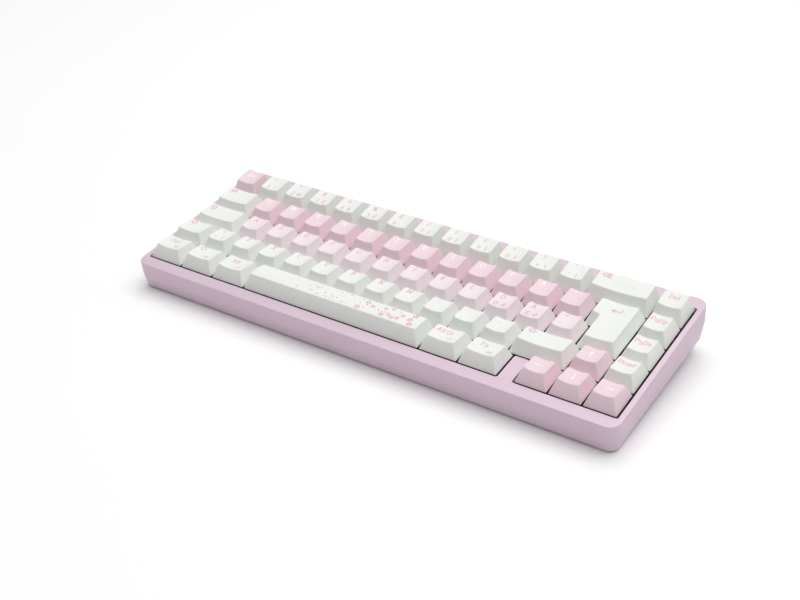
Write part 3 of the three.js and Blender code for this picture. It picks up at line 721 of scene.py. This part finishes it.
# A serif alphabet of pen strokes, in hundredths of a capital's height. A stroke is a path of x y points, an arc
# (O centre radii and two angles), a serif (_), a dot (.), or a stem between two serifs (I).
STROKES = {
    "A": "7 0 36 100; 36 100 66 0; 17 33 56 33; _7 0; _66 0",
    "B": "I14; 14 100 36 100; O36 76 22 24 90 -90; 14 52 36 52; O38 26 25 26 90 -90; 14 0 38 0",
    "C": "O42 50 34 50 50 310; 66 94 66 72",
    "D": "I14; 14 100 32 100; O32 50 36 50 90 -90; 14 0 32 0",
    "E": "I14; 14 100 58 100 58 82; 14 52 46 52; 14 0 60 0 60 20",
    "F": "I14; 14 100 58 100 58 82; 14 52 46 52",
    "G": "O42 50 34 50 50 325; 66 94 66 72; 70 44 70 8; 56 46 82 46",
    "H": "I14; I62; 14 52 62 52",
    "I": "I20",
    "J": "36 100 36 22; _36 100; O22 22 14 22 0 -150",
    "K": "I14; 62 100 16 44; 28 58 64 0; _60 100; _66 0",
    "L": "I14; 14 0 58 0 58 22",
    "M": "I12; I80; 12 100 46 14; 46 14 80 100",
    "N": "12 0 12 100; 12 100 64 0; 64 0 64 100; _12 0; _10 100; _64 100",
    "O": "O40 50 32 50 0 360",
    "P": "I14; 14 100 36 100; O36 73 24 27 90 -90; 14 46 36 46",
    "Q": "O40 50 32 50 0 360; 44 22 70 -14",
    "R": "I14; 14 100 36 100; O36 73 24 27 90 -90; 14 46 36 46; 36 46 62 0; _66 0",
    "S": "O34 75 22 25 20 270; O34 25 24 25 90 -160; 55 98 55 76; 12 24 12 2",
    "T": "36 0 36 100; _36 0; 6 82 6 100 66 100 66 82",
    "U": "14 100 14 30; O38 30 24 30 180 360; 62 30 62 100; _14 100; _62 100",
    "V": "8 100 36 0; 36 0 64 100; _8 100; _64 100",
    "W": "6 100 28 0; 28 0 50 96; 50 96 72 0; 72 0 96 100; _6 100; _50 100; _96 100",
    "X": "8 100 62 0; 62 100 8 0; _8 100; _62 100; _8 0; _62 0",
    "Y": "8 100 36 50; 64 100 36 50; 36 50 36 0; _8 100; _64 100; _36 0",
    "Z": "10 82 10 100 60 100; 60 100 8 0; 8 0 62 0 62 20",
    "Å": "7 0 36 100; 36 100 66 0; 17 33 56 33; _7 0; _66 0; O36 117 9 10 0 360",
    "Ä": "7 0 36 100; 36 100 66 0; 17 33 56 33; _7 0; _66 0; .20 116; .54 116",
    "Ö": "O40 50 32 50 0 360; .24 118; .56 118",
    "Ø": "O40 50 32 50 0 360; 10 -6 72 106",
    "Æ": "6 0 44 100; 44 100 94 100 94 82; 52 0 52 100; 22 34 52 34; 52 52 80 52; 52 0 96 0 96 20; _6 0",
    "0": "O34 50 24 50 0 360",
    "1": "34 0 34 100; _34 0; 16 84 34 100",
    "2": "O32 74 22 26 160 -30; 51 61 10 0; 10 0 58 0 58 14",
    "3": "O32 76 20 24 150 -90; O32 27 24 27 90 -150",
    "4": "44 0 44 100; 44 100 6 28; 6 28 64 28; _44 0",
    "5": "54 100 16 100; 16 100 15 58; O32 31 24 31 125 -150",
    "6": "O34 31 23 31 0 360; O50 31 39 66 180 100",
    "7": "10 82 10 100 58 100; 58 100 26 0",
    "8": "O34 76 19 24 0 360; O34 27 23 27 0 360",
    "9": "O34 69 23 31 0 360; O18 69 39 66 0 -80",
    "c": "O30 33 22 33 50 310",
    "e": "O30 33 22 33 0 310; 10 36 50 36",
    "g": "O28 36 20 28 0 360; 48 62 48 -8; O28 -8 20 20 0 -160",
    "l": "16 0 16 100; _16 0; 4 100 16 100",
    "m": "12 0 12 64; O26 44 14 20 180 0; 40 44 40 0; O54 44 14 20 180 0; 68 44 68 0; _12 0; _68 0",
    "n": "12 0 12 64; O29 42 17 22 180 0; 46 42 46 0; _12 0; _46 0",
    "o": "O28 33 21 33 0 360",
    "p": "12 -30 12 64; _12 -30; O31 33 19 31 0 360",
    "r": "12 0 12 64; _12 0; O28 42 16 22 180 40",
    "s": "O24 49 14 16 30 270; O24 16 16 16 90 -150",
    "t": "20 92 20 14; O32 14 12 14 180 300; 6 64 38 64",
    "!": "20 100 20 32; .20 6",
    '"': "14 100 14 70; 34 100 34 70",
    "#": "22 0 32 100; 46 0 56 100; 8 66 68 66; 4 34 64 34",
    "¤": "O34 50 17 20 0 360; 12 78 22 66; 56 78 46 66; 12 22 22 34; 56 22 46 34",
    "%": "O16 76 12 22 0 360; O56 24 12 22 0 360; 60 100 12 0",
    "&": "O30 78 15 20 -40 220; 18 66 66 0; O30 26 24 26 130 350",
    "/": "56 100 10 0",
    "(": "O54 50 36 60 130 230",
    ")": "O-2 50 36 60 50 -50",
    "=": "8 64 56 64; 8 36 56 36",
    "?": "O30 76 20 24 160 -60; 36 54 30 32; .30 6",
    "+": "34 14 34 76; 4 45 64 45",
    "\\": "8 100 54 0",
    "`": "14 100 32 76",
    "´": "32 100 14 76",
    "|": "20 104 20 -10",
    "*": "24 100 24 60; 6 92 42 70; 6 70 42 92",
    "'": "18 100 18 70",
    "^": "8 76 26 100; 26 100 44 76",
    "¨": ".14 92; .42 92",
    "~": "4 44 16 56; 16 56 36 44; 36 44 48 56",
    ">": "10 78 58 50; 58 50 10 22",
    "<": "58 78 10 50; 10 50 58 22",
    ";": ".20 56; 22 10 12 -14",
    ",": "22 12 12 -14",
    ":": ".20 58; .20 8",
    ".": ".20 8",
    "_": "4 0 60 0",
    "-": "8 40 46 40",
    "@": "O44 46 40 48 -50 300; O44 44 16 20 0 360; 60 66 62 28",
    "£": "O46 74 18 26 20 180; 28 74 28 8; 8 0 62 0 62 18; 12 48 48 48",
    "$": "O34 75 22 25 20 270; O34 25 24 25 90 -160; 34 112 34 -12",
    "€": "O44 50 32 48 50 310; 2 60 46 60; 2 40 44 40",
    "{": "44 104 30 96; 30 96 28 60; 28 60 14 50; 14 50 28 40; 28 40 30 4; 30 4 44 -4",
    "}": "14 104 28 96; 28 96 30 60; 30 60 44 50; 44 50 30 40; 30 40 28 4; 28 4 14 -4",
    "[": "40 104 20 104; 20 104 20 -6; 20 -6 40 -6",
    "]": "14 104 34 104; 34 104 34 -6; 34 -6 14 -6",
    " ": "0 0 14 0",
}


def pen(path):
    """A stroke of a broad pen, as a slab about z = 0: broad where it runs upright, and fine where it runs level."""
    breadth, thickness, angle = NIB
    rings = []
    for i, point in enumerate(path):
        ahead = (path[min(i + 1, len(path) - 1)] - path[max(i - 1, 0)]).normalized()
        heading = math.atan2(ahead.y, ahead.x)
        half = (thickness + breadth * abs(math.sin(heading - angle))) / 2
        side = Vector((-ahead.y, ahead.x)) * half
        left, right = point + side, point - side
        rings.append([Vector((p.x, p.y, z)) for p, z in ((left, -0.5), (right, -0.5), (right, 0.5), (left, 0.5))])
    return loft(rings)


def pen_stroke(text):
    """The slabs of one stroke of STROKES."""
    kind = text[0] if text[0] in "OI_." else ""
    values = [float(word) for word in text[len(kind):].split()]
    if kind == "O":
        x, y, reach_x, reach_y, start, end = values
        steps = max(4, round(abs(end - start) / 24))
        turns = [math.radians(start + (end - start) * i / steps) for i in range(steps + 1)]
        return [pen([Vector((x + reach_x * math.cos(t), y + reach_y * math.sin(t))) for t in turns])]
    if kind == ".":
        return [loft([circle(*values, z, 8.5, 8) for z in (-0.5, 0.5)])]
    if kind == "_":
        x, y = values
        return [pen([Vector((x - SERIF, y)), Vector((x + SERIF, y))])]
    if kind == "I":
        x = values[0]
        return [part for stroke in (f"{x} 0 {x} 100", f"_{x} 0", f"_{x} 100") for part in pen_stroke(stroke)]
    points = [Vector(pair) for pair in zip(values[::2], values[1::2])]
    return [pen(pair) for pair in zip(points, points[1:])]


def text_shape(text, size):
    """Written characters as a thin slab about z = 0, size high and leaning to the right."""
    parts, pen_x = [], 0
    for character in text:
        glyph = joined(*[part for stroke in STROKES[character].split("; ") for part in pen_stroke(stroke)])
        low, high = min(p.x for p in glyph[0]), max(p.x for p in glyph[0])
        if character != " ":
            parts.append(moved(glyph, Matrix.Translation((pen_x - low, 0, 0))))
        pen_x += high - low + LETTER_GAP
    points, faces = joined(*parts)
    share = size / 100
    return [Vector(((p.x + SLOPE * p.y) * share, p.y * share, p.z)) for p in points], faces


def slab(points):
    """A thin slab about z = 0 on a flat outline."""
    return loft([[Vector((x, y, z)) for x, y in points] for z in (-0.5, 0.5)])


def strip(*points, width=0.5):
    """A line of even width through points, as one slab to each stretch."""
    parts = []
    for (x0, y0), (x1, y1) in zip(points, points[1:]):
        along = Vector((x1 - x0, y1 - y0)).normalized()
        start, end = Vector((x0, y0)) - along * width / 2, Vector((x1, y1)) + along * width / 2
        side = Vector((-along.y, along.x)) * width / 2
        parts.append(slab([tuple(start - side), tuple(end - side), tuple(end + side), tuple(start + side)]))
    return joined(*parts)


def arrow(length, turn=0):
    """An arrow that points right, turned about the origin."""
    head = length * 0.3
    body = joined(
        strip((-length / 2, 0), (length / 2 - 0.3, 0), width=0.45),
        strip((length / 2 - head, head * 0.6), (length / 2, 0), (length / 2 - head, -head * 0.6), width=0.45),
    )
    return moved(body, Matrix.Rotation(math.radians(turn), 4, "Z"))


def small_ring(x, y):
    """A small open circle."""
    turns = [math.pi * i / 5 for i in range(11)]
    return strip(*[(x + 0.6 * math.cos(t), y + 0.6 * math.sin(t)) for t in turns], width=0.3)


def sign(name):
    """The drawn signs, centred on the origin."""
    if name in ARROWS:
        return arrow(4.6, ARROWS[name])
    shift = [(0, 1.8), (2.0, -0.1), (1.0, -0.1), (1.0, -1.5), (-1.0, -1.5), (-1.0, -0.1), (-2.0, -0.1), (0, 1.8)]
    tag = [(-2.4, 0), (-1.0, 1.3), (2.4, 1.3), (2.4, -1.3), (-1.0, -1.3), (-2.4, 0)]
    return {
        "enter": lambda: joined(
            strip((2.6, 2.0), (2.6, 0), width=0.6), strip((2.6, 0), (-2.4, 0), width=0.6),
            strip((-1.0, 1.2), (-2.6, 0), width=0.6), strip((-2.6, 0), (-1.0, -1.2), width=0.6)),
        "erase": lambda: joined(strip(*tag), strip((0, 0.6), (1.3, -0.6)), strip((0, -0.6), (1.3, 0.6))),
        "tab": lambda: joined(moved(arrow(3.6), Matrix.Translation((0, 0.8, 0))),
                              moved(arrow(3.6, 180), Matrix.Translation((0, -0.8, 0)))),
        "caps": lambda: joined(strip(*shift), strip((-1.0, -2.4), (1.0, -2.4))),
        "shift": lambda: strip(*shift),
        "diamond": lambda: strip((0, 1.8), (1.8, 0), (0, -1.8), (-1.8, 0), (0, 1.8)),
        "dash": lambda: strip((-1.4, 0), (1.4, 0), width=0.36),
        "dots": lambda: joined(small_ring(-0.8, 0), small_ring(0.8, 0)),
    }[name]()


def laid_on(cell, body):
    """Lays a thin slab onto a top face, in strips narrow enough to follow its hollow."""
    work = bmesh.new()
    mesh = bpy.data.meshes.new("ink")
    mesh.from_pydata(body[0], [], body[1])
    work.from_mesh(mesh)
    bmesh.ops.remove_doubles(work, verts=work.verts, dist=1e-5)
    low, high = min(v.co.x for v in work.verts), max(v.co.x for v in work.verts)
    for i in range(1, int((high - low) / INK_STRIP) + 1):
        geometry = work.verts[:] + work.edges[:] + work.faces[:]
        at = Vector((low + i * INK_STRIP, 0, 0))
        bmesh.ops.bisect_plane(work, geom=geometry, dist=1e-5, plane_co=at, plane_no=(1, 0, 0))
    for v in work.verts:
        lift = INK_RISE if v.co.z > 0 else INK_RISE - INK_DEPTH
        v.co.z = cell.height(v.co.x, v.co.y) + lift
    return finished(work)


def legend_body(cell):
    """Every character and sign on one key, laid on its top face."""
    back, front_left, front_right = cell.legends
    is_word = len(back) > 1 and not back.startswith("@")
    spare = cell.x1 - cell.x0 - UNIT
    back_x, back_y = WORD_AT if is_word else BACK_AT
    back_x += spare / 4 if is_word else 0
    places = [
        (back, (back_x, back_y), WORD_HEIGHT if is_word else BACK_HEIGHT),
        (front_left, FRONT_LEFT_AT, FRONT_LEFT_HEIGHT),
        (front_right, (FRONT_RIGHT_AT[0] + spare, FRONT_RIGHT_AT[1]), FRONT_RIGHT_HEIGHT),
    ]
    parts = []
    for text, (x, y), size in places:
        if not text:
            continue
        if text.startswith("@") and len(text) > 1:
            shape = sign(text[1:])
            if text[1:] in ARROWS:
                x, y = ARROW_AT
            elif text in ("@dash", "@dots"):
                x, y = SMALL_SIGN_AT
            elif text == "@enter":
                x, y = ENTER_SIGN_AT
        else:
            shape = text_shape(text, size)
            xs = [p.x for p in shape[0]]
            x -= (min(xs) + max(xs)) / 2
            y -= size / 2
        place = Matrix.Translation((cell.x0 + x, cell.y0 + y, 0))
        parts.append(laid_on(cell, moved(shape, place)))
    return joined(*parts) if parts else None


def legends():
    for cell in CELLS:
        body = legend_body(cell)
        if body:
            look = color_row(cell)
            add(f"legend_{cell.name}", body, CAP_LOOKS[look][1], BODY_OF[cell.name])


BLOSSOM_SEED, BLOSSOM_TRIES = 11, 80


def blossom(x, y, radius, turn):
    """A flower of five round petals about a small open middle."""
    petals = []
    for i in range(5):
        heading = turn + 2 * math.pi * i / 5
        rim = []
        for step in range(10):
            angle = 2 * math.pi * step / 10
            out = radius * (0.62 + 0.36 * math.cos(angle))
            off = radius * 0.26 * math.sin(angle)
            rim.append((x + out * math.cos(heading) - off * math.sin(heading),
                        y + out * math.sin(heading) + off * math.cos(heading)))
        petals.append(slab(rim))
    return joined(*petals)


def space_bar_blossoms():
    """A loose drift of blossoms and petals that thickens towards the right end of the space bar."""
    cell = next(c for c in CELLS if c.name == "space")
    draw = random.Random(BLOSSOM_SEED)
    x0, x1 = cell.x0 + cell.side + 22, cell.x1 - cell.side - 5
    y0, y1 = cell.y0 + cell.front + 1.6, cell.y1 - cell.back - 1.6
    parts, taken = [], []
    for number in range(BLOSSOM_TRIES):
        share = draw.random() ** 0.55
        x, y = x0 + (x1 - x0) * share, draw.uniform(y0, y1)
        radius = draw.uniform(1.3, 2.2) if share > 0.5 and number % 3 else draw.uniform(0.4, 0.7)
        if any(math.hypot(x - a, y - b) < radius + r + 0.15 for a, b, r in taken):
            continue
        taken.append((x, y, radius))
        turn = draw.uniform(0, math.pi)
        if radius > 0.8:
            parts.append(laid_on(cell, blossom(x, y, radius, turn)))
        else:
            rim = [(x + radius * math.cos(a + turn), y + 0.6 * radius * math.sin(a + turn))
                   for a in (2 * math.pi * i / 8 for i in range(8))]
            parts.append(laid_on(cell, slab(rim)))
    add("legend_space", joined(*parts), INK_PINK, BODY_OF["space"])


# ---- Inside the case ----
# The outside of a switch from below: half its width, its height and its corner radius.
HOUSING = [
    (6.5, BOARD_TOP + 0.05, 0.6), (6.7, BOARD_TOP + 0.6, 0.6), (6.7, PLATE_TOP + 0.05, 0.6),
    (7.6, PLATE_TOP + 0.05, 0.6), (7.6, PLATE_TOP + 0.9, 0.6), (6.9, PLATE_TOP + 1.1, 0.6),
    (5.9, -3.6, 0.9), (4.1, -0.5, 0.7), (3.8, -0.1, 0.7),
]
WELL_HALF_X, WELL_HALF_Y, WELL_FLOOR = 3.3, 3.05, -9.4


def housing(x, y):
    """A switch's housing: a square bottom, a flange on the plate and a tapered top with a well for the slider."""
    def ring(half_x, half_y, z, corner):
        corners = rectangle(x - half_x, x + half_x, y - half_y, y + half_y)
        return flat(outline(corners, corner, [2] * 4, 3), z)

    rings = [ring(half, half, z, corner) for half, z, corner in HOUSING]
    rings += [ring(WELL_HALF_X, WELL_HALF_Y, z, 0.3) for z in (HOUSING[-1][1], WELL_FLOOR)]
    return loft(rings)


def switch_housings():
    for row in range(ROWS):
        parts = [housing(*cell.centre()) for cell in CELLS if cell.row == row]
        add(f"switch_housings_row_{row + 1}", joined(*parts), NYLON, "base")


def circuit_board():
    """The board, and a socket under it for each switch."""
    panel = block(1, FIELD_X - 1, 0.5, FIELD_Y - 0.5, BOARD_BOTTOM, BOARD_TOP, 0.2)
    sockets = []
    for cell in CELLS:
        x, y = cell.centre()
        sockets.append(block(x - 5.5, x + 5.5, y + 1.2, y + 5.6, BOARD_BOTTOM - 1.1, BOARD_BOTTOM - 0.02, 0.2))
    add("board_panel", panel, SOLDER_MASK, "base", "circuit_board")
    add("board_sockets", joined(*sockets), NYLON, "base")


def usb_inlet():
    """The metal shell of the inlet, its tongue with the contacts, and the small board under it."""
    mouth = USB_MOUTH
    wall = [(0.1, mouth - 7.5), (0, mouth - 7.4), (0, mouth - 0.1), (0.15, mouth), (0.45, mouth),
            (0.6, mouth - 0.1), (0.6, mouth - 5.6)]
    shell = [usb_ring(USB_WIDTH - inset, USB_HEIGHT - inset, 1.6 - inset / 2, y) for inset, y in wall]
    add("usb_shell", loft(shell), NICKEL, "base", "usb_board")
    tongue = [usb_ring(width, height, 0.12, y, steps=(1, 1, 1, 1)) for width, height, y in
              [(6.7, 0.7, mouth - 5.8), (6.7, 0.7, mouth - 1.4), (6.4, 0.5, mouth - 1.2)]]
    add("usb_tongue", loft(tongue), NYLON, "base")
    contacts = []
    for i in range(12):
        x = USB_X + (i - 5.5) * 0.5
        for z0, z1 in ((-0.39, -0.33), (0.33, 0.39)):
            contacts.append(block(x - 0.13, x + 0.13, mouth - 5.0, mouth - 1.8, USB_Z + z0, USB_Z + z1, 0.01))
    add("usb_contacts", joined(*contacts), GOLD, "base")
    board_top = USB_Z - USB_HEIGHT / 2
    panel = block(USB_X - 10, USB_X + 10, mouth - 15, mouth - 0.8, board_top - 1.2, board_top, 0.15)
    add("usb_panel", panel, SOLDER_MASK, "base")


def stabiliser_wires():
    """Each wire: a long bar, two bent corners and two arms that lift towards the key's posts."""
    arm, bend, lift = 9.6, 1.6, math.radians(12)
    bar_y, bar_z = -8.3, -5.5
    reaches = {"space": 50.0, "backspace": 11.94, "enter": 11.94}
    for name, reach in reaches.items():
        x, y = next(c for c in CELLS if c.name == name).centre()
        half = [Vector((0, 0, 0)), Vector((reach - bend, 0, 0))]
        half += [Vector((reach - bend + bend * math.sin(a), bend - bend * math.cos(a), 0))
                 for a in (math.radians(15 * i) for i in range(1, 7))]
        half.append(Vector((reach, arm + 0.4, 0)))
        path = [Vector((-p.x, p.y, 0)) for p in reversed(half[1:])] + half
        turn = Matrix.Rotation(-math.pi / 2, 4, "Z") if name == "enter" else Matrix.Identity(4)
        place = Matrix.Translation((x, y, 0)) @ turn @ Matrix.Translation((0, bar_y, bar_z))
        wire = moved(sweep(path, WIRE_RADIUS), place @ Matrix.Rotation(lift, 4, "X"))
        node = f"stabiliser_wire_{name}"
        add(f"wire_{name}", wire, STEEL, node, node)


def inner_parts():
    """The inner solids that keep their shape: each gets its material and soft edges."""
    looks = {"gasket_front": (FOAM, 0.3), "gasket_rear": (FOAM, 0.3), "switch_plate": (BLACK_PLATE, 0.1),
             "battery_pack": (WRAP, 0.8)}
    for node, (material, width) in looks.items():
        piece = frame["nodes"][node]
        piece.data.materials.clear()
        piece.data.materials.append(material)
        bevel = piece.modifiers.new("edges", "BEVEL")
        bevel.width = width * MM
        bevel.segments = 2
        bevel.limit_method = "ANGLE"


# ---- Floor, light and camera ----
FLOOR_SIZE = 3.0  # metres from the middle to each side
FLOOR_PAINT = surface("floor_paint", (0.97, 0.97, 0.97), 0.7, grain=0.002, bump=0.02, mottle=0.004, patch=0.5)


def stage():
    """A plain pale floor."""
    mesh = bpy.data.meshes.new("floor")
    corners = rectangle(-FLOOR_SIZE, FLOOR_SIZE, -FLOOR_SIZE, FLOOR_SIZE)
    mesh.from_pydata(flat(corners), [], [(0, 1, 2, 3)])
    floor = placed("floor", mesh)
    mesh.materials.append(FLOOR_PAINT)


def area_light(name, place, aim, size, power):
    light = bpy.data.lights.new(name, "AREA")
    light.shape = "RECTANGLE"
    light.size, light.size_y = size
    light.energy = power
    holder = placed(name, light)
    place, aim = Vector(place), Vector(aim)
    holder.matrix_world = Matrix.Translation(place) @ (aim - place).to_track_quat("-Z", "Y").to_matrix().to_4x4()


HORIZON_GLOW, ZENITH_GLOW = 0.2, 0.7
OVERHEAD_PLACE, OVERHEAD_SIZE, OVERHEAD_POWER = (0.2, 0.5, 2.0), (2.4, 2.0), 32


def lights():
    """A sky that is brighter overhead, and one large soft light above and behind the keyboard."""
    world = bpy.data.worlds.new("studio")
    bpy.context.scene.world = world
    world.use_nodes = True
    nodes, links = world.node_tree.nodes, world.node_tree.links
    up = nodes.new("ShaderNodeSeparateXYZ")
    links.new(nodes.new("ShaderNodeTexCoord").outputs["Generated"], up.inputs["Vector"])
    glow = nodes.new("ShaderNodeMapRange")
    glow.inputs["To Min"].default_value = HORIZON_GLOW
    glow.inputs["To Max"].default_value = ZENITH_GLOW
    links.new(up.outputs["Z"], glow.inputs["Value"])
    nodes["Background"].inputs["Color"].default_value = (1, 1, 1, 1)
    links.new(glow.outputs["Result"], nodes["Background"].inputs["Strength"])
    area_light("overhead", OVERHEAD_PLACE, (0, 0, 0), OVERHEAD_SIZE, OVERHEAD_POWER)
    bpy.context.scene.view_settings.view_transform = "Standard"


def camera():
    """A camera to the right of the front, about 0.7 m away and turned slightly about its line of sight."""
    place = DECK @ Vector((492.4, -402.8, 409.7))
    ahead = (DECK.to_3x3() @ Vector((-0.4875, 0.6347, -0.5995))).normalized()
    right = (DECK.to_3x3() @ Vector((0.8298, 0.5504, -0.0920))).normalized()
    up = right.cross(ahead)
    data = bpy.data.cameras.new("camera")
    data.sensor_width = 36
    data.lens = 55.81
    data.dof.use_dof = False
    holder = placed("camera", data)
    turn = Matrix((right, up, -ahead)).transposed().to_4x4()
    holder.matrix_world = Matrix.Translation(place) @ turn
    bpy.context.scene.camera = holder


camera()
lights()
stage()
upper_case()
bottom_cover()
cover_screws()
feet()
keycaps()
legends()
space_bar_blossoms()
switch_housings()
circuit_board()
usb_inlet()
stabiliser_wires()
inner_parts()
